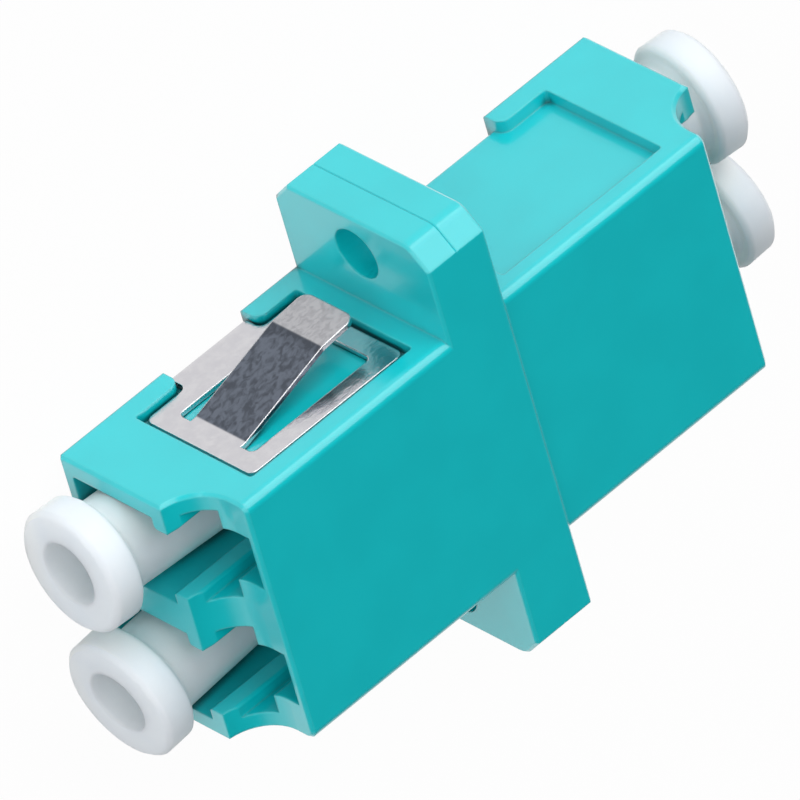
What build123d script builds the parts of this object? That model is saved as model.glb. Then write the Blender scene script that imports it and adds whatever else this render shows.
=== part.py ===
from build123d import *
import os
from dataclasses import dataclass

# A duplex fibre adapter: two moulded housings joined at a flange, with two plug ports
# at each end, a split sleeve between each pair of ports, a folded steel clip round the
# front housing, and a dust cap in every port.
#
# Millimetres. +X runs across the two ports, +Y along them towards the rear, and +Z
# towards the side with the latch slots. The origin is on the face that the adapter
# lies on, in the seam between the housings.

# Flange, half of it on each housing
flange_height = 9.2
flange_half_thickness = 1.6
flange_corner_cut = 1.0
flange_corner_blend = 0.9
flange_edge_cut = 0.12
seam_groove = 0.05
screw_spacing = 18.0
screw_edge_distance = 2.0
screw_hole_radius = 1.225

# Body of each housing, which is a little lower behind the flange than in front of it
body_width = 12.6
body_length = 30.2
rear_latch_step = 0.15
latch_edge_radius = 0.45
base_edge_radius = 0.15
mouth_edge_cut = 0.14

# Scallop that bares the latch of a plug at each end
scallop_radius = 2.1
scallop_overhang = 0.2
scallop_drop = 1.0

# Ports: a plug zone below two rails, and a wing zone and a latch slot above them
port_spacing = 6.25
port_width = 4.65
port_floor = 0.6
port_corner_radius = 0.2
rail_base = 5.35
rail_height = 0.95
rail_width = 0.6
rail_nose_radius = 0.15
wing_height = 1.15
latch_slot_width = 2.74
latch_wall = 0.35
latch_zone_depth = 7.5
catch_setback = 4.5
catch_pocket_length = 2.6
web_half_thickness = 1.2

# Split sleeves and the barrels that hold them
sleeve_bore_radius = 0.625
sleeve_outer_radius = 0.81
sleeve_length = 6.8
sleeve_slit = 0.3
sleeve_play = 0.04
sleeve_end_play = 0.05
barrel_outer_radius = 1.45
barrel_reach = 4.6
ferrule_play = 0.09
ferrule_lead_in = 0.25

# Recess round the narrow sides, for the clip
recess_depth = 0.6
recess_flange_border = 1.0
recess_length = 9.15
recess_base_border = 1.1
recess_latch_border = 1.15
recess_corner_radius = 0.15
border_end_radius = 0.5

# Clip, one folded sheet of spring steel
sheet = 0.25
clip_inset = 0.3
strap_inset = 0.05
strap_clearance = 0.03
strap_side_clearance = 0.1
plate_flange_gap = 0.2
plate_mouth_gap = 0.33
plate_base_gap = 0.2
plate_latch_gap = 0.4
plate_border = 0.95
plate_corner_radius = 0.35
window_corner_radius = 0.3
strap_width = 4.25
strap_setback = 2.05
fold_radius = 0.5
tongue_width = 3.0
tongue_foot = 0.25
tongue_run = 4.9
tongue_rise = 1.5
tongue_lip_run = 1.9
tongue_lip_rise = 0.15
tongue_bend_radius = 0.35
tongue_tip_radius = 0.5

# Dust caps
cap_head_radius = 2.85
cap_head_thickness = 1.59
cap_head_edge_cut = 0.2
cap_neck_cut = 0.3
cap_shaft_radius = 2.1
cap_tip_cut = 0.35
cap_length = 8.85
cap_bore_radius = 1.47
cap_end_wall = 1.2
cap_wall_clearance = 0.02

# How far the outer face of each cap stands out of its port
front_left_standoff = 2.97
front_right_standoff = 2.77
rear_left_standoff = 2.72
rear_right_standoff = 2.65

# Places that follow from the sizes
flange_width = screw_spacing + 2 * screw_edge_distance
body_reach = body_length / 2
port_half_width = port_width / 2
rail_top = rail_base + rail_height
wing_top = rail_top + wing_height
latch_slot_top = flange_height - latch_wall
port_middle = (port_floor + rail_base) / 2
latch_zone_end = body_reach - latch_zone_depth
catch_pocket_start = body_reach - catch_setback
sleeve_seat_radius = sleeve_outer_radius + sleeve_play
sleeve_seat_reach = sleeve_length / 2 + sleeve_end_play
ferrule_hole_radius = sleeve_bore_radius + ferrule_play
core_half_width = body_width / 2 - recess_depth
recess_start = flange_half_thickness + recess_flange_border
recess_end = recess_start + recess_length
recess_top = flange_height - recess_latch_border
clip_half_width = body_width / 2 - clip_inset
plate_start = recess_start + plate_flange_gap
plate_end = recess_end - plate_mouth_gap
plate_base = recess_base_border + plate_base_gap
plate_top = recess_top - plate_latch_gap
strap_start = plate_start + strap_setback
strap_end = strap_start + strap_width
strap_top = strap_inset + sheet
groove_depth = strap_top + strap_clearance

# How far a cut runs past the solid, and how near two places count as one
beyond = 2.0
hair = 0.01


@dataclass
class CapFit:
    """How one dust cap stands in its port.

    side and end are -1 or 1, towards -X or +X and -Y or +Y. standoff is from the
    port's mouth to the middle of the cap's outer face. mouth and tip say where the
    shaft stands at the port's mouth and at its own tip, as shares of the play there,
    across the ports and upwards.
    """
    name: str
    side: int
    end: int
    standoff: float
    mouth: tuple
    tip: tuple


cap_fits = [
    CapFit("front_left_dust_cap", -1, -1, front_left_standoff, (-0.95, -0.2), (0.85, 0.0)),
    CapFit("front_right_dust_cap", 1, -1, front_right_standoff, (0.85, 0.6), (-0.65, -0.25)),
    CapFit("rear_left_dust_cap", -1, 1, rear_left_standoff, (0.35, 0.95), (-0.2, -0.9)),
    CapFit("rear_right_dust_cap", 1, 1, rear_right_standoff, (-0.85, 0.0), (0.65, 0.1)),
]


def span(low_x, high_x, low_y, high_y):
    """Return a flat rectangle between two corners of its own plane."""
    middle = Pos((low_x + high_x) / 2, (low_y + high_y) / 2)
    return middle * Rectangle(high_x - low_x, high_y - low_y)


def along_y(outline, start, stop):
    """Extrude an outline drawn as (x, z) from y = start to y = stop."""
    return extrude(Plane.XZ.offset(-start) * outline, amount=start - stop)


def along_x(outline, half_length):
    """Extrude an outline drawn as (y, z) to both sides of x = 0."""
    return extrude(Plane.YZ * outline, amount=half_length, both=True)


def rod(radius, x, z, start, stop):
    """Return a cylinder parallel to Y."""
    return along_y(Pos(x, z) * Circle(radius), start, stop)


def corners(outline, x=None, y=None):
    """Return the corners of an outline whose |x| or y is the one given."""
    picked = outline.vertices()
    if x is not None:
        picked = picked.filter_by(lambda corner: abs(abs(corner.X) - x) < hair)
    if y is not None:
        picked = picked.filter_by(lambda corner: abs(corner.Y - y) < hair)
    return picked


def body_block(latch_face):
    """Return the body of a housing towards +Y, before anything is cut in its sides."""
    outline = span(-body_width / 2, body_width / 2, 0, latch_face)
    outline = fillet(corners(outline, y=latch_face), latch_edge_radius)
    outline = fillet(corners(outline, y=0), base_edge_radius)
    block = along_y(outline, 0, body_reach)
    centre_y = body_reach + scallop_overhang
    centre_z = flange_height - scallop_drop
    scallop = Pos(centre_y, centre_z) * Circle(scallop_radius)
    scallop += span(centre_y - scallop_radius, centre_y + beyond, centre_z, flange_height + beyond)
    block -= along_x(scallop, body_width)
    scallop_start = centre_y - scallop_radius
    side_edges = block.edges().filter_by(
        lambda edge: abs(edge.center().X) > body_width / 2 - hair and edge.center().Y > scallop_start - hair
    )
    return chamfer(side_edges, mouth_edge_cut)


def flange_half():
    """Return the half of the flange that belongs to the housing towards +Y."""
    outline = span(-flange_width / 2, flange_width / 2, 0, flange_height)
    outline = chamfer(outline.vertices(), flange_corner_cut)
    latch_corners = corners(outline, x=flange_width / 2).filter_by(lambda corner: corner.Y > flange_height / 2)
    outline = fillet(latch_corners, flange_corner_blend)
    plate = along_y(outline, 0, flange_half_thickness)
    plate = chamfer(plate.faces().sort_by(Axis.Y)[-1].outer_wire().edges(), flange_edge_cut)
    seam = plate.faces().sort_by(Axis.Y)[0].outer_wire().edges()
    plate = chamfer(seam.sort_by(Axis.Z)[1:-1], seam_groove)
    for side in (-1, 1):
        hole_x = side * screw_spacing / 2
        plate -= rod(screw_hole_radius, hole_x, flange_height / 2, -beyond, flange_half_thickness + beyond)
    return plate


def port_space():
    """Return the open space of one port, centred on x = 0 and towards +Y."""
    plug = span(-port_half_width, port_half_width, port_floor, rail_base)
    plug = fillet(corners(plug, y=port_floor), port_corner_radius)
    gap_half_width = port_half_width - rail_width
    upper = span(-gap_half_width, gap_half_width, rail_base, rail_top)
    upper += span(-port_half_width, port_half_width, rail_top, wing_top)
    upper += span(-latch_slot_width / 2, latch_slot_width / 2, wing_top, latch_slot_top)
    mouth = plug + upper
    mouth = fillet(corners(mouth, x=gap_half_width), rail_nose_radius)
    space = along_y(plug, web_half_thickness, latch_zone_end)
    space += along_y(mouth, latch_zone_end, body_reach + beyond)
    pocket = span(-port_half_width, port_half_width, rail_top, latch_slot_top)
    space += along_y(pocket, catch_pocket_start - catch_pocket_length, catch_pocket_start)
    return space


def barrel(port_x):
    """Return the barrel that holds one end of a sleeve, still without its bore."""
    post = rod(barrel_outer_radius, port_x, port_middle, web_half_thickness / 2, barrel_reach)
    return post


def barrel_bore(port_x):
    """Return the sleeve's seat and, beyond it, the hole that lets a ferrule in."""
    bore = rod(sleeve_seat_radius, port_x, port_middle, -beyond, sleeve_seat_reach)
    bore += rod(ferrule_hole_radius, port_x, port_middle, sleeve_seat_reach, barrel_reach + beyond)
    mouth = Plane(origin=(port_x, barrel_reach, port_middle), x_dir=(1, 0, 0), z_dir=(0, -1, 0))
    funnel = Cone(ferrule_hole_radius + ferrule_lead_in, ferrule_hole_radius, ferrule_lead_in)
    bore += mouth * Pos(0, 0, ferrule_lead_in / 2) * funnel
    return bore


def side_recess():
    """Return what is cut from both narrow sides of a housing, and below it for the strap."""
    notch_start = strap_start - strap_side_clearance
    notch_end = strap_end + strap_side_clearance
    outline = span(recess_start, recess_end, recess_base_border, recess_top)
    outline = fillet(outline.vertices(), recess_corner_radius)
    outline += span(notch_start, notch_end, -beyond, recess_base_border)
    border_ends = corners(outline, y=recess_base_border)
    border_ends = border_ends.filter_by(lambda corner: notch_start - hair < corner.X < notch_end + hair)
    outline = fillet(border_ends, border_end_radius)
    cut = along_x(outline, body_width) - along_x(outline, core_half_width)
    core = span(-core_half_width, core_half_width, groove_depth, flange_height)
    core = fillet(corners(core, y=groove_depth), fold_radius - sheet + strap_clearance)
    wrap = span(-body_width, body_width, -beyond, recess_base_border / 2) - core
    return cut + along_y(wrap, notch_start, notch_end)


def housing(latch_face):
    """Return the housing towards +Y, with its latch face at the height given."""
    shell = body_block(latch_face) + flange_half()
    shell -= side_recess()
    for side in (-1, 1):
        shell -= Pos(side * port_spacing / 2, 0, 0) * port_space()
    for side in (-1, 1):
        shell += barrel(side * port_spacing / 2)
        shell -= barrel_bore(side * port_spacing / 2)
    return shell


def split_sleeve(port_x):
    """Return the slit ceramic sleeve that lines up the ferrules of two plugs."""
    ring = Circle(sleeve_outer_radius) - Circle(sleeve_bore_radius)
    ring -= span(-sleeve_slit / 2, sleeve_slit / 2, 0, sleeve_outer_radius + beyond)
    return along_y(Pos(port_x, port_middle) * ring, -sleeve_length / 2, sleeve_length / 2)


def clip_tongue():
    """Return the spring tongue on the -X side, drawn from above and trimmed from the side."""
    foot_y = -(plate_end - plate_border)
    bend_y = foot_y + tongue_foot
    crease_y = bend_y + tongue_run
    tip_y = crease_y + tongue_lip_run
    crease_x = -clip_half_width - tongue_rise
    outer = FilletPolyline(
        (-clip_half_width, foot_y - sheet, 0),
        (-clip_half_width, bend_y, 0),
        (crease_x, crease_y, 0),
        (crease_x - tongue_lip_rise, tip_y, 0),
        radius=tongue_bend_radius,
    )
    strip = make_face(offset(outer, amount=sheet, side=Side.RIGHT))
    middle = (plate_base + plate_top) / 2
    tongue = extrude(Pos(0, 0, middle) * strip, amount=tongue_width / 2, both=True)
    trim = span(foot_y - sheet, tip_y, middle - tongue_width / 2, middle + tongue_width / 2)
    trim = fillet(trim.vertices().sort_by(Axis.X)[-2:], tongue_tip_radius)
    return tongue & along_x(trim, body_width)


def spring_clip():
    """Return the clip: a strap under the body and a plate with a tongue on each side."""
    outer = span(-clip_half_width, clip_half_width, strap_inset, flange_height + beyond)
    outer = fillet(corners(outer, y=strap_inset), fold_radius)
    inner_half_width = clip_half_width - sheet
    inner = span(-inner_half_width, inner_half_width, strap_top, flange_height + beyond)
    inner = fillet(corners(inner, y=strap_top), fold_radius - sheet)
    folded = along_y(outer - inner, -plate_end, -plate_start)
    blank = span(-plate_end, -plate_start, plate_base, plate_top)
    blank += span(-strap_end, -strap_start, -beyond, plate_base)
    blank = fillet(blank.vertices().filter_by(lambda corner: corner.Y > 0), plate_corner_radius)
    low_y = plate_border - plate_end
    high_y = -plate_border - plate_start
    window = span(low_y, high_y, plate_base + plate_border, plate_top - plate_border)
    window = fillet(window.vertices(), window_corner_radius)
    clip = folded & along_x(blank - window, body_width)
    tongue = clip_tongue()
    return clip + tongue + mirror(tongue, about=Plane.YZ)


def dust_cap():
    """Return a cap along +Z, with the tip of its shaft on z = 0."""
    head_base = cap_length - cap_head_thickness
    section = Polygon(
        (0, 0),
        (cap_shaft_radius, 0),
        (cap_shaft_radius, head_base),
        (cap_head_radius, head_base),
        (cap_head_radius, cap_length),
        (cap_bore_radius, cap_length),
        (cap_bore_radius, cap_end_wall),
        (0, cap_end_wall),
        align=None,
    )
    section = chamfer(corners(section, x=cap_head_radius), cap_head_edge_cut)
    section = chamfer(corners(section, x=cap_shaft_radius, y=0), cap_tip_cut)
    section = chamfer(corners(section, x=cap_shaft_radius, y=head_base), cap_neck_cut)
    return revolve(Plane.XZ * section, axis=Axis.Z)


def shaft_point(fit, shares, y):
    """Return the point of a cap's axis at y, where its shaft takes those shares of the play."""
    play_x = port_half_width - cap_shaft_radius - cap_wall_clearance
    play_z = (rail_base - port_floor) / 2 - cap_shaft_radius - cap_wall_clearance
    x = fit.side * port_spacing / 2 + shares[0] * play_x
    return Vector(x, y, port_middle + shares[1] * play_z)


def seated_cap(fit):
    """Return a dust cap standing in its port, leaning as far as its play lets it."""
    mouth = shaft_point(fit, fit.mouth, fit.end * body_reach)
    tip = shaft_point(fit, fit.tip, fit.end * (body_reach + fit.standoff - cap_length))
    return Plane(origin=tip, x_dir=(1, 0, 0), z_dir=mouth - tip) * dust_cap()


def write(shape, name):
    """Write one piece under the name of its node."""
    export_step(shape, f"parts/{name}.step")


os.makedirs("parts", exist_ok=True)
write(mirror(housing(flange_height), about=Plane.XZ), "front_housing")
write(housing(flange_height - rear_latch_step), "rear_housing")
write(split_sleeve(-port_spacing / 2), "left_split_sleeve")
write(split_sleeve(port_spacing / 2), "right_split_sleeve")
write(spring_clip(), "spring_clip")
for cap_fit in cap_fits:
    write(seated_cap(cap_fit), cap_fit.name)
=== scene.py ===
"""Duplex fibre adapter: finishes for its moulded housings, steel clip, ceramic sleeves and caps.

Everything is in metres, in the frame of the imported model: +X across the two ports, +Y
towards the rear, +Z towards the side with the latch slots. The adapter lies on z = 0.
"""

import logging
import math
from dataclasses import dataclass, field
from enum import Enum
from typing import Any, Dict, List, Optional, Sequence, Tuple, Union

import bmesh
import bpy
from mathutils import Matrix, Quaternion, Vector


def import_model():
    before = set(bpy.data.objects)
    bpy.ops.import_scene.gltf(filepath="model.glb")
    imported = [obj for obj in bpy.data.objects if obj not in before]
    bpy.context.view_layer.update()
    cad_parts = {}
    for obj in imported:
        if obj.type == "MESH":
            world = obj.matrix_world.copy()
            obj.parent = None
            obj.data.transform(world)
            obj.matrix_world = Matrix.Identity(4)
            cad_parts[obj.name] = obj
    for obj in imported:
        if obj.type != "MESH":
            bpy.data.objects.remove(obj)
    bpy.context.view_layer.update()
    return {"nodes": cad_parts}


LOG = logging.getLogger("fibre_adapter")
MM = 0.001
NOISE_MEAN = 0.5

Colour = Tuple[float, float, float]
Stretch = Tuple[float, float, float]
Range = Tuple[float, float]
Shade = Union[Colour, bpy.types.NodeSocket]
SocketValue = Union[float, Sequence[float], bpy.types.NodeSocket]


class Axis(Enum):
    """A direction of the adapter's frame, as the component a shader reads."""

    ACROSS = "X"
    ALONG = "Y"
    UP = "Z"


class Field:
    """A value in a shader, so that maths on it is written as plain Python."""

    def __init__(self, bench: "Bench", socket: bpy.types.NodeSocket) -> None:
        """Wrap one output socket of the bench's tree."""
        self.bench = bench
        self.socket = socket

    def _join(self, operation: str, first: Any, second: Any) -> "Field":
        """Add one Math node.

        Args:
            operation: The Math node's operation.
            first: Its first operand, a Field or a number.
            second: Its second operand, a Field or a number.

        Returns:
            The node's result.
        """
        node = self.bench.node("ShaderNodeMath", {"operation": operation}, {0: first, 1: second})
        return Field(self.bench, node.outputs[0])

    def __add__(self, other: Any) -> "Field":
        """Return self + other."""
        return self._join("ADD", self, other)

    def __radd__(self, other: Any) -> "Field":
        """Return other + self."""
        return self._join("ADD", other, self)

    def __sub__(self, other: Any) -> "Field":
        """Return self - other."""
        return self._join("SUBTRACT", self, other)

    def __rsub__(self, other: Any) -> "Field":
        """Return other - self."""
        return self._join("SUBTRACT", other, self)

    def __mul__(self, other: Any) -> "Field":
        """Return self * other."""
        return self._join("MULTIPLY", self, other)

    def __rmul__(self, other: Any) -> "Field":
        """Return other * self."""
        return self._join("MULTIPLY", other, self)

    def __abs__(self) -> "Field":
        """Return the size of self, without its sign."""
        return self._join("ABSOLUTE", self, 0.0)

    def step(self, low: float, high: float) -> "Field":
        """Rise smoothly from 0 at low to 1 at high.

        Args:
            low: The value below which the result is 0.
            high: The value above which the result is 1.

        Returns:
            The smoothed step.
        """
        settings = {"interpolation_type": "SMOOTHSTEP"}
        values = {"Value": self.socket, "From Min": low, "From Max": high}
        node = self.bench.node("ShaderNodeMapRange", settings, values)
        return Field(self.bench, node.outputs["Result"])


class Bench:
    """A node tree that is filled from empty."""

    def __init__(self, tree: bpy.types.NodeTree) -> None:
        """Clear the tree.

        Args:
            tree: The tree of a material or of the world.
        """
        self.tree = tree
        self.tree.nodes.clear()

    def node(
        self,
        kind: str,
        settings: Optional[Dict[str, Any]] = None,
        values: Optional[Dict[Union[str, int], SocketValue]] = None,
    ) -> bpy.types.Node:
        """Add a node, with its settings first and then its sockets.

        Args:
            kind: The node's type.
            settings: Values of the node's own properties.
            values: What goes into its sockets, a plain value or a link.

        Returns:
            The new node.
        """
        made = self.tree.nodes.new(kind)
        for name, value in (settings or {}).items():
            setattr(made, name, value)
        for name, value in (values or {}).items():
            if isinstance(value, Field):
                value = value.socket
            if isinstance(value, bpy.types.NodeSocket):
                self.tree.links.new(value, made.inputs[name])
            else:
                made.inputs[name].default_value = value
        return made


class Sheet(Bench):
    """The node tree of one material, with the calls that fill it."""

    rounding_samples = 6
    sky_samples = 8
    turned_edge = (0.88, 0.995)

    def __init__(self, name: str) -> None:
        """Start a material with an empty tree.

        Args:
            name: The material's name.
        """
        self.material = bpy.data.materials.new(name)
        self.material.use_nodes = True
        super().__init__(self.material.node_tree)
        self.output = self.node("ShaderNodeOutputMaterial")
        self.place = self.node("ShaderNodeTexCoord").outputs["Object"]
        self.flat_normal = self.node("ShaderNodeNewGeometry").outputs["Normal"]

    def coordinate(self, axis: Axis) -> Field:
        """Return the place along one axis of the adapter's frame, in metres."""
        parts = self.node("ShaderNodeSeparateXYZ", None, {0: self.place})
        return Field(self, parts.outputs[axis.value])

    def stretched(self, scale: Stretch) -> bpy.types.NodeSocket:
        """Return object coordinates scaled by a factor for each axis."""
        values = {"Vector": self.place, "Scale": scale}
        return self.node("ShaderNodeMapping", None, values).outputs[0]

    def noise(
        self, grain: float, detail: float, scale: Stretch = (1.0, 1.0, 1.0), swirl: float = 0.0
    ) -> Field:
        """Return a smooth noise between 0 and 1.

        Args:
            grain: The size of one blob, in metres.
            detail: How many finer layers it has.
            scale: How much finer it is along each axis.
            swirl: How far its blobs are drawn out into wrinkles.

        Returns:
            The noise.
        """
        values = {
            "Vector": self.stretched(scale),
            "Scale": 1 / grain,
            "Detail": detail,
            "Distortion": swirl,
        }
        return Field(self, self.node("ShaderNodeTexNoise", None, values).outputs["Fac"])

    def blend(self, amount: Field, first: Shade, second: Shade) -> bpy.types.NodeSocket:
        """Mix two colours.

        Args:
            amount: 0 for the first colour, 1 for the second.
            first: The first colour, plain or from another node.
            second: The second colour, plain or from another node.

        Returns:
            The mixed colour.
        """
        low, high = ((*end, 1.0) if isinstance(end, tuple) else end for end in (first, second))
        values = {"Factor": amount, 6: low, 7: high}
        return self.node("ShaderNodeMix", {"data_type": "RGBA"}, values).outputs[2]

    def rounded(self, radius: float) -> bpy.types.NodeSocket:
        """Return the normal of a surface whose sharp edges look rounded to a radius, in metres."""
        settings = {"samples": self.rounding_samples}
        return self.node("ShaderNodeBevel", settings, {"Radius": radius}).outputs["Normal"]

    def edges(self, normal: bpy.types.NodeSocket) -> Field:
        """Return 1 on the edges that a rounded normal turns, and 0 away from them."""
        values = {0: normal, 1: self.flat_normal}
        node = self.node("ShaderNodeVectorMath", {"operation": "DOT_PRODUCT"}, values)
        return 1 - Field(self, node.outputs["Value"]).step(*self.turned_edge)

    def shut_in(self, reach: float, open_range: Range) -> Field:
        """Return 1 where the surroundings close over a place, and 0 where it lies open.

        Args:
            reach: How far away the surroundings count, in metres.
            open_range: The open shares of the sky at which the result is 1 and 0.

        Returns:
            How far the place is shut in.
        """
        settings = {"samples": self.sky_samples}
        sky = self.node("ShaderNodeAmbientOcclusion", settings, {"Distance": reach})
        return 1 - Field(self, sky.outputs["AO"]).step(*open_range)

    def bump(
        self, height: Field, depth: float, strength: float, normal: bpy.types.NodeSocket
    ) -> bpy.types.NodeSocket:
        """Turn a height into a normal.

        Args:
            height: The height, from 0 to 1.
            depth: What a height of 1 stands for, in metres.
            strength: How much of it shows.
            normal: The normal that it bends.

        Returns:
            The bumped normal.
        """
        values = {"Height": height, "Distance": depth, "Strength": strength, "Normal": normal}
        return self.node("ShaderNodeBump", None, values).outputs["Normal"]

    def surface(self, **values: SocketValue) -> bpy.types.Material:
        """Close the tree with one principled shader.

        Args:
            **values: The shader's sockets, with underscores for spaces.

        Returns:
            The finished material.
        """
        named = {name.replace("_", " "): value for name, value in values.items()}
        shader = self.node("ShaderNodeBsdfPrincipled", None, named)
        self.tree.links.new(shader.outputs[0], self.output.inputs["Surface"])
        return self.material


@dataclass(frozen=True)
class MouldedPlastic:
    """Glossy aqua thermoplastic, with the fine spark texture of its mould, a painted highlight on
    its edges and painted shade in narrow gaps.
    """

    name: str = "aqua_moulded_plastic"
    colour: Colour = (0.0, 0.56, 0.61)
    cloud: Colour = (0.0, 0.585, 0.635)
    flow_grain: float = 3.0 * MM
    flow_detail: float = 2.0
    flow_range: Range = (0.3, 0.7)
    spark_grain: float = 0.05 * MM
    spark_detail: float = 2.0
    spark_depth: float = 0.004 * MM
    spark_strength: float = 0.5
    roughness: float = 0.34
    spark_roughness: float = 0.08
    flow_roughness: float = 0.06
    edge: float = 0.16 * MM
    # painted highlight: a lighter aqua laid on the rounded edges, away from the seam
    edge_highlight_colour: Colour = (0.10, 0.72, 0.75)
    edge_highlight_share: float = 0.4
    seam: float = 0.12 * MM
    seam_fade: float = 1.4
    gloss: float = 0.85
    flow_gloss: float = 0.1
    gloss_roughness: float = 0.12
    # painted shade: near-black teal in narrow gaps and crevices, where the surroundings close in
    gap_shade_colour: Colour = (0.0, 0.07, 0.08)
    gap_shade_reach: float = 0.6 * MM
    gap_shade_range: Range = (0.24, 0.60)

    def build(self) -> bpy.types.Material:
        """Return the material."""
        sheet = Sheet(self.name)
        # painted shade in narrow gaps, from how far the surroundings close over a place
        painted_gap_shade = sheet.shut_in(self.gap_shade_reach, self.gap_shade_range)
        flow = sheet.noise(self.flow_grain, self.flow_detail)
        spark = sheet.noise(self.spark_grain, self.spark_detail)
        off_seam = abs(sheet.coordinate(Axis.ALONG)).step(self.seam, self.seam_fade * self.seam)
        rounded = sheet.rounded(self.edge)
        normals = {"Factor": off_seam, 4: sheet.flat_normal, 5: rounded}
        normal = sheet.node("ShaderNodeMix", {"data_type": "VECTOR"}, normals).outputs[1]
        body = sheet.blend(flow.step(*self.flow_range), self.colour, self.cloud)
        # painted highlight on the edges that the rounded normal turns
        painted_edge_highlight = self.edge_highlight_share * sheet.edges(rounded) * off_seam
        pitted = self.spark_roughness * (spark - NOISE_MEAN)
        clouded = self.flow_roughness * (flow - NOISE_MEAN)
        lit = sheet.blend(painted_edge_highlight, body, self.edge_highlight_colour)
        return sheet.surface(
            Base_Color=sheet.blend(painted_gap_shade, lit, self.gap_shade_colour),
            Roughness=self.roughness + pitted + clouded,
            Normal=sheet.bump(spark, self.spark_depth, self.spark_strength, normal),
            Coat_Weight=self.gloss + self.flow_gloss * flow,
            Coat_Roughness=self.gloss_roughness,
        )


@dataclass(frozen=True)
class SoftCapPlastic:
    """Milky polyethylene of the dust caps, which lets some light through.

    Where the surroundings shut it in, its colour is painted lighter, a painted glow for the light
    that comes through the cap, and inside a port a painted teal tint for the light that comes
    through the housing.
    """

    name: str = "milky_cap_plastic"
    colour: Colour = (0.79, 0.86, 0.965)
    cloud: Colour = (0.815, 0.88, 0.975)
    flow_grain: float = 1.6 * MM
    flow_detail: float = 3.0
    flow_range: Range = (0.35, 0.65)
    # painted light: a lighter glow where the cap is shut in, and a teal tint inside a port
    painted_glow: Colour = (0.94, 0.985, 1.0)
    painted_port_light: Colour = (0.62, 0.93, 0.95)
    shade_reach: float = 2.5 * MM
    shade_range: Range = (0.55, 0.92)
    port_range: Range = (13.1 * MM, 16.6 * MM)
    skin_grain: float = 0.25 * MM
    skin_detail: float = 2.0
    skin_depth: float = 0.006 * MM
    skin_strength: float = 0.5
    roughness: float = 0.42
    skin_roughness: float = 0.1
    edge: float = 0.28 * MM
    milkiness: float = 0.6
    light_reach: float = 2.5 * MM
    shine: float = 0.35

    def build(self) -> bpy.types.Material:
        """Return the material."""
        sheet = Sheet(self.name)
        flow = sheet.noise(self.flow_grain, self.flow_detail)
        skin = sheet.noise(self.skin_grain, self.skin_detail)
        # painted glow where the surroundings shut the cap in, painted teal tint inside a port
        hidden = sheet.shut_in(self.shade_reach, self.shade_range)
        in_port = 1 - abs(sheet.coordinate(Axis.ALONG)).step(*self.port_range)
        body = sheet.blend(flow.step(*self.flow_range), self.colour, self.cloud)
        painted_through_light = sheet.blend(in_port, self.painted_glow, self.painted_port_light)
        normal = sheet.rounded(self.edge)
        return sheet.surface(
            Base_Color=sheet.blend(hidden, body, painted_through_light),
            Roughness=self.roughness + self.skin_roughness * (skin - NOISE_MEAN),
            Normal=sheet.bump(skin, self.skin_depth, self.skin_strength, normal),
            Subsurface_Weight=self.milkiness,
            Subsurface_Radius=(1.0, 1.0, 1.0),
            Subsurface_Scale=self.light_reach,
            Specular_IOR_Level=self.shine,
        )


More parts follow.
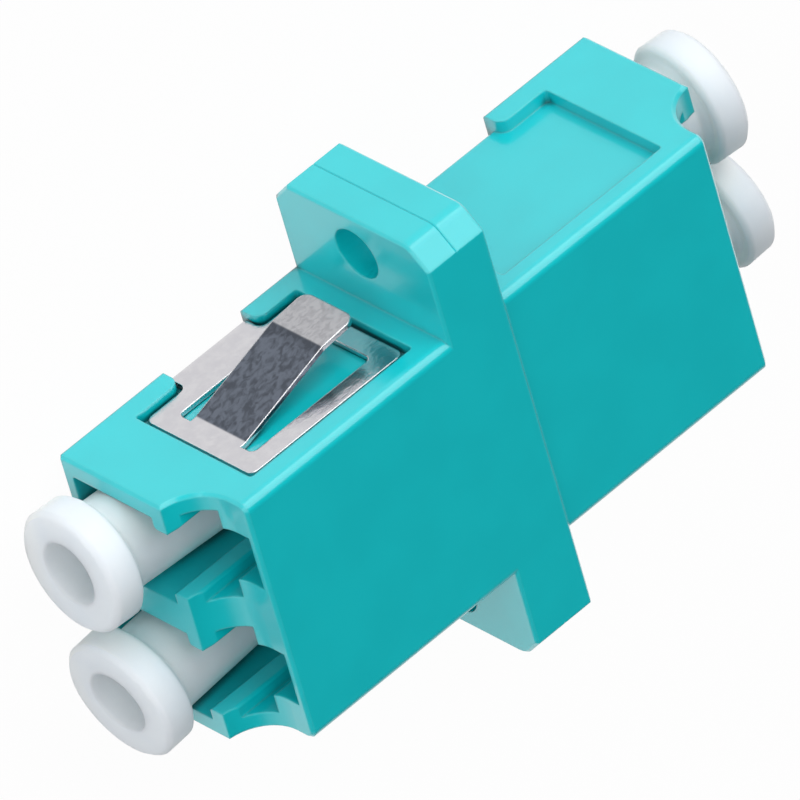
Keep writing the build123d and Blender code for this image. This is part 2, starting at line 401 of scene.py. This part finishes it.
@dataclass(frozen=True)
class SpringSteel:
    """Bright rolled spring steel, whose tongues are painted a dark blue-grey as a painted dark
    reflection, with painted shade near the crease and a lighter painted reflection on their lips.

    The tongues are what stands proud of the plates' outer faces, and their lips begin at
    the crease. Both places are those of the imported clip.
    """

    name: str = "spring_steel"
    colour: Colour = (0.68, 0.67, 0.69)
    cloud: Colour = (0.62, 0.61, 0.64)
    # painted reflection: the tongues' dark blue-grey and the lips' lighter grey stand in for what
    # they reflect
    dark_tongue_reflection: Colour = (0.15, 0.17, 0.21)
    darker_tongue_reflection: Colour = (0.075, 0.085, 0.105)
    lip_reflection: Colour = (0.48, 0.48, 0.50)
    lip_shade: Colour = (0.38, 0.38, 0.40)
    # painted highlight: near-white on the clip's edges
    sheared_edge_highlight: Colour = (0.92, 0.92, 0.94)
    edge: float = 0.09 * MM
    tongue_range: Range = (6.008 * MM, 6.04 * MM)
    lip_range: Range = (-5.4 * MM, -5.3 * MM)
    # painted shade: the tongue darker towards the crease
    crease_range: Range = (-6.02 * MM, -5.32 * MM)
    crease_shade: float = 0.7
    dimple_grain: float = 0.6 * MM
    dimple_detail: float = 2.0
    dimple_range: Range = (0.3, 0.7)
    roll_grain: float = 0.04 * MM
    roll_detail: float = 2.0
    roll_stretch: Stretch = (1.0, 0.05, 1.0)
    roll_share: float = 0.15
    dent_grain: float = 0.26 * MM
    dent_detail: float = 4.0
    dent_stretch: Stretch = (1.0, 0.6, 1.0)
    dent_swirl: float = 0.7
    dent_depth: float = 0.024 * MM
    dent_strength: float = 0.5
    plate_dents: Range = (0.2, 0.6)
    tongue_dents: Range = (0.36, 0.66)
    tongue_dent_shade: float = 0.9
    lip_dents: Range = (0.38, 0.66)
    roughness: float = 0.2
    roll_roughness: float = 0.1
    dimple_roughness: float = 0.06

    def build(self) -> bpy.types.Material:
        """Return the material."""
        sheet = Sheet(self.name)
        dimples = sheet.noise(self.dimple_grain, self.dimple_detail)
        rolled = sheet.noise(self.roll_grain, self.roll_detail, self.roll_stretch)
        dents = sheet.noise(self.dent_grain, self.dent_detail, self.dent_stretch, self.dent_swirl)
        rounded = sheet.rounded(self.edge)
        along = sheet.coordinate(Axis.ALONG)
        sprung = abs(sheet.coordinate(Axis.ACROSS)).step(*self.tongue_range)
        smooth = dimples.step(*self.dimple_range) * dents.step(*self.plate_dents)
        plate = sheet.blend(smooth, self.cloud, self.colour)
        # painted shade near the crease, painted dark reflection on the tongues, lighter painted
        # reflection on the lips
        crease_painted_shade = self.crease_shade * along.step(*self.crease_range)
        streaked = self.tongue_dent_shade * dents.step(*self.tongue_dents) + crease_painted_shade
        tongue = sheet.blend(streaked, self.dark_tongue_reflection, self.darker_tongue_reflection)
        lip_reflection = sheet.blend(dents.step(*self.lip_dents), self.lip_reflection, self.lip_shade)
        spring = sheet.blend(along.step(*self.lip_range), tongue, lip_reflection)
        face = sheet.blend(sprung, plate, spring)
        grain = self.roll_roughness * (rolled - NOISE_MEAN)
        wear = self.dimple_roughness * (dimples - NOISE_MEAN)
        relief = dents + self.roll_share * rolled
        return sheet.surface(
            # painted highlight on the edges that the rounded normal turns
            Base_Color=sheet.blend(sheet.edges(rounded), face, self.sheared_edge_highlight),
            Metallic=1.0,
            Roughness=self.roughness + grain + wear,
            Normal=sheet.bump(relief, self.dent_depth, self.dent_strength, rounded),
        )


@dataclass(frozen=True)
class Zirconia:
    """Ground and polished white zirconia of the sleeves."""

    name: str = "white_zirconia"
    colour: Colour = (0.86, 0.85, 0.80)
    cloud: Colour = (0.82, 0.81, 0.77)
    grain: float = 0.03 * MM
    grain_detail: float = 2.0
    grain_stretch: Stretch = (1.0, 0.1, 1.0)
    grain_range: Range = (0.3, 0.7)
    grain_depth: float = 0.002 * MM
    grain_strength: float = 0.3
    roughness: float = 0.16
    grain_roughness: float = 0.08
    edge: float = 0.05 * MM

    def build(self) -> bpy.types.Material:
        """Return the material."""
        sheet = Sheet(self.name)
        ground = sheet.noise(self.grain, self.grain_detail, self.grain_stretch)
        normal = sheet.rounded(self.edge)
        return sheet.surface(
            Base_Color=sheet.blend(ground.step(*self.grain_range), self.colour, self.cloud),
            Roughness=self.roughness + self.grain_roughness * (ground - NOISE_MEAN),
            Normal=sheet.bump(ground, self.grain_depth, self.grain_strength, normal),
        )


@dataclass(frozen=True)
class PaleFloor:
    """White studio floor that shows as white to the camera and keeps a soft shadow."""

    name: str = "pale_floor"
    colour: Colour = (0.80, 0.80, 0.80)
    shown_white: float = 0.97

    def build(self) -> bpy.types.Material:
        """Return the material."""
        sheet = Sheet(self.name)
        rays = sheet.node("ShaderNodeLightPath")
        seen = Field(sheet, rays.outputs["Is Camera Ray"])
        mirrored = Field(sheet, rays.outputs["Is Glossy Ray"])
        through = Field(sheet, rays.outputs["Is Transmission Ray"])
        white = sheet.node("ShaderNodeEmission", None, {"Color": (1, 1, 1, 1), "Strength": 1.0})
        matt = sheet.node("ShaderNodeBsdfDiffuse", None, {"Color": (*self.colour, 1.0)})
        share = (seen + mirrored + through).step(0.0, 1.0) * self.shown_white
        ends = {0: share, 1: matt.outputs[0], 2: white.outputs[0]}
        mixed = sheet.node("ShaderNodeMixShader", None, ends)
        sheet.tree.links.new(mixed.outputs[0], sheet.output.inputs["Surface"])
        return sheet.material


@dataclass
class SubAssembly:
    """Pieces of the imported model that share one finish."""

    nodes: List[str]
    finish: Any

    def dress(self, objects: Dict[str, bpy.types.Object]) -> None:
        """Give every piece its finish.

        Args:
            objects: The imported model's objects by node name.
        """
        material = self.finish.build()
        for name in self.nodes:
            mesh = objects[name].data
            mesh.materials.clear()
            mesh.materials.append(material)
            LOG.info("%s dressed in %s", name, self.finish.name)


@dataclass
class Housings(SubAssembly):
    """The two moulded housings, joined at the flange."""

    nodes: List[str] = field(default_factory=lambda: ["front_housing", "rear_housing"])
    finish: MouldedPlastic = MouldedPlastic()


@dataclass
class SpringClip(SubAssembly):
    """The folded steel clip round the front housing."""

    nodes: List[str] = field(default_factory=lambda: ["spring_clip"])
    finish: SpringSteel = SpringSteel()


@dataclass
class SplitSleeves(SubAssembly):
    """The two ceramic sleeves inside."""

    nodes: List[str] = field(default_factory=lambda: ["left_split_sleeve", "right_split_sleeve"])
    finish: Zirconia = Zirconia()


@dataclass
class DustCaps(SubAssembly):
    """The four dust caps."""

    nodes: List[str] = field(
        default_factory=lambda: [
            "front_left_dust_cap",
            "front_right_dust_cap",
            "rear_left_dust_cap",
            "rear_right_dust_cap",
        ]
    )
    finish: SoftCapPlastic = SoftCapPlastic()


def outward(azimuth: float, elevation: float) -> Vector:
    """Return the direction from the adapter to someone who looks at it.

    Args:
        azimuth: 0 for a look along +Y, 90 for one along -X, in degrees.
        elevation: The height above the horizon, in degrees.

    Returns:
        The direction, of length 1.
    """
    turn = math.radians(azimuth)
    rise = math.radians(elevation)
    reach = math.cos(rise)
    return Vector((math.sin(turn) * reach, -math.cos(turn) * reach, math.sin(rise)))


@dataclass
class Lamp:
    """One soft square lamp aimed at the adapter."""

    name: str
    azimuth: float
    elevation: float
    distance: float
    width: float
    watts: float

    def light(self, aim: Vector) -> None:
        """Hang the lamp round a point.

        Args:
            aim: The point that it faces, in metres.
        """
        data = bpy.data.lights.new(self.name, "AREA")
        data.shape = "SQUARE"
        data.size = self.width
        data.energy = self.watts
        lamp = bpy.data.objects.new(self.name, data)
        back = outward(self.azimuth, self.elevation)
        lamp.location = aim + back * self.distance
        lamp.rotation_mode = "QUATERNION"
        lamp.rotation_quaternion = (-back).to_track_quat("-Z", "Y")
        bpy.context.scene.collection.objects.link(lamp)
        LOG.info("%s hung", self.name)


@dataclass
class Studio:
    """Floor, lamps and background.

    The walls reach up to the lower of the two heights in wall_edge and have turned into
    the ceiling at the upper one. Both are the sine of the angle above the horizon.
    """

    floor_size: float = 6.0
    wall_level: float = 0.75
    ceiling_level: float = 0.05
    wall_edge: Range = (0.08, 0.5)
    aim_height: float = 4.0 * MM
    lamps: List[Lamp] = field(
        default_factory=lambda: [
            Lamp("key_lamp", azimuth=-112.0, elevation=34.0, distance=0.5, width=0.60, watts=2.55),
            Lamp("fill_lamp", azimuth=-20.0, elevation=36.0, distance=0.6, width=0.70, watts=2.1),
        ]
    )

    def build(self) -> None:
        """Make the floor, the world and the lamps."""
        mesh = bpy.data.meshes.new("floor")
        grid = bmesh.new()
        bmesh.ops.create_grid(grid, x_segments=1, y_segments=1, size=self.floor_size / 2)
        grid.to_mesh(mesh)
        grid.free()
        floor = bpy.data.objects.new("floor", mesh)
        mesh.materials.append(PaleFloor().build())
        bpy.context.scene.collection.objects.link(floor)
        self.paint_room()
        for lamp in self.lamps:
            lamp.light(Vector((0, 0, self.aim_height)))

    def paint_room(self) -> None:
        """Make a room of pale walls under a darker ceiling."""
        world = bpy.data.worlds.new("studio")
        world.use_nodes = True
        bench = Bench(world.node_tree)
        direction = bench.node("ShaderNodeTexCoord").outputs["Generated"]
        parts = bench.node("ShaderNodeSeparateXYZ", None, {0: direction})
        height = Field(bench, parts.outputs[Axis.UP.value])
        drop = self.wall_level - self.ceiling_level
        level = self.wall_level - drop * height.step(*self.wall_edge)
        values = {"Color": (1, 1, 1, 1), "Strength": level}
        paint = bench.node("ShaderNodeBackground", None, values)
        bench.node("ShaderNodeOutputWorld", None, {"Surface": paint.outputs[0]})
        bpy.context.scene.world = world


@dataclass
class PhotographCamera:
    """The camera of the photograph: far away, and rolled so that the adapter lies aslant."""

    azimuth: float = -55.4832
    elevation: float = 40.7482
    roll: float = 117.0
    place: Tuple[float, float, float] = (-0.56307, -0.38802, 0.59217)
    focal_length: float = 1003.17
    sensor: float = 36.0
    nearest: float = 0.1
    farthest: float = 20.0

    def build(self) -> None:
        """Make the camera and hand it to the scene."""
        data = bpy.data.cameras.new("photograph_camera")
        data.lens = self.focal_length
        data.sensor_width = self.sensor
        data.clip_start = self.nearest
        data.clip_end = self.farthest
        camera = bpy.data.objects.new("photograph_camera", data)
        look = (-outward(self.azimuth, self.elevation)).to_track_quat("-Z", "Y")
        camera.location = self.place
        camera.rotation_mode = "QUATERNION"
        camera.rotation_quaternion = look @ Quaternion((0, 0, 1), math.radians(self.roll))
        bpy.context.scene.collection.objects.link(camera)
        bpy.context.scene.camera = camera
        LOG.info("camera placed")


def main() -> None:
    """Dress the adapter, light it and place the camera."""
    logging.basicConfig(level=logging.INFO, format="%(name)s: %(message)s")
    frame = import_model()
    bpy.context.scene.view_settings.view_transform = "Standard"
    for assembly in (Housings(), SpringClip(), SplitSleeves(), DustCaps()):
        assembly.dress(frame["nodes"])
    Studio().build()
    PhotographCamera().build()


if __name__ == "__main__":
    main()
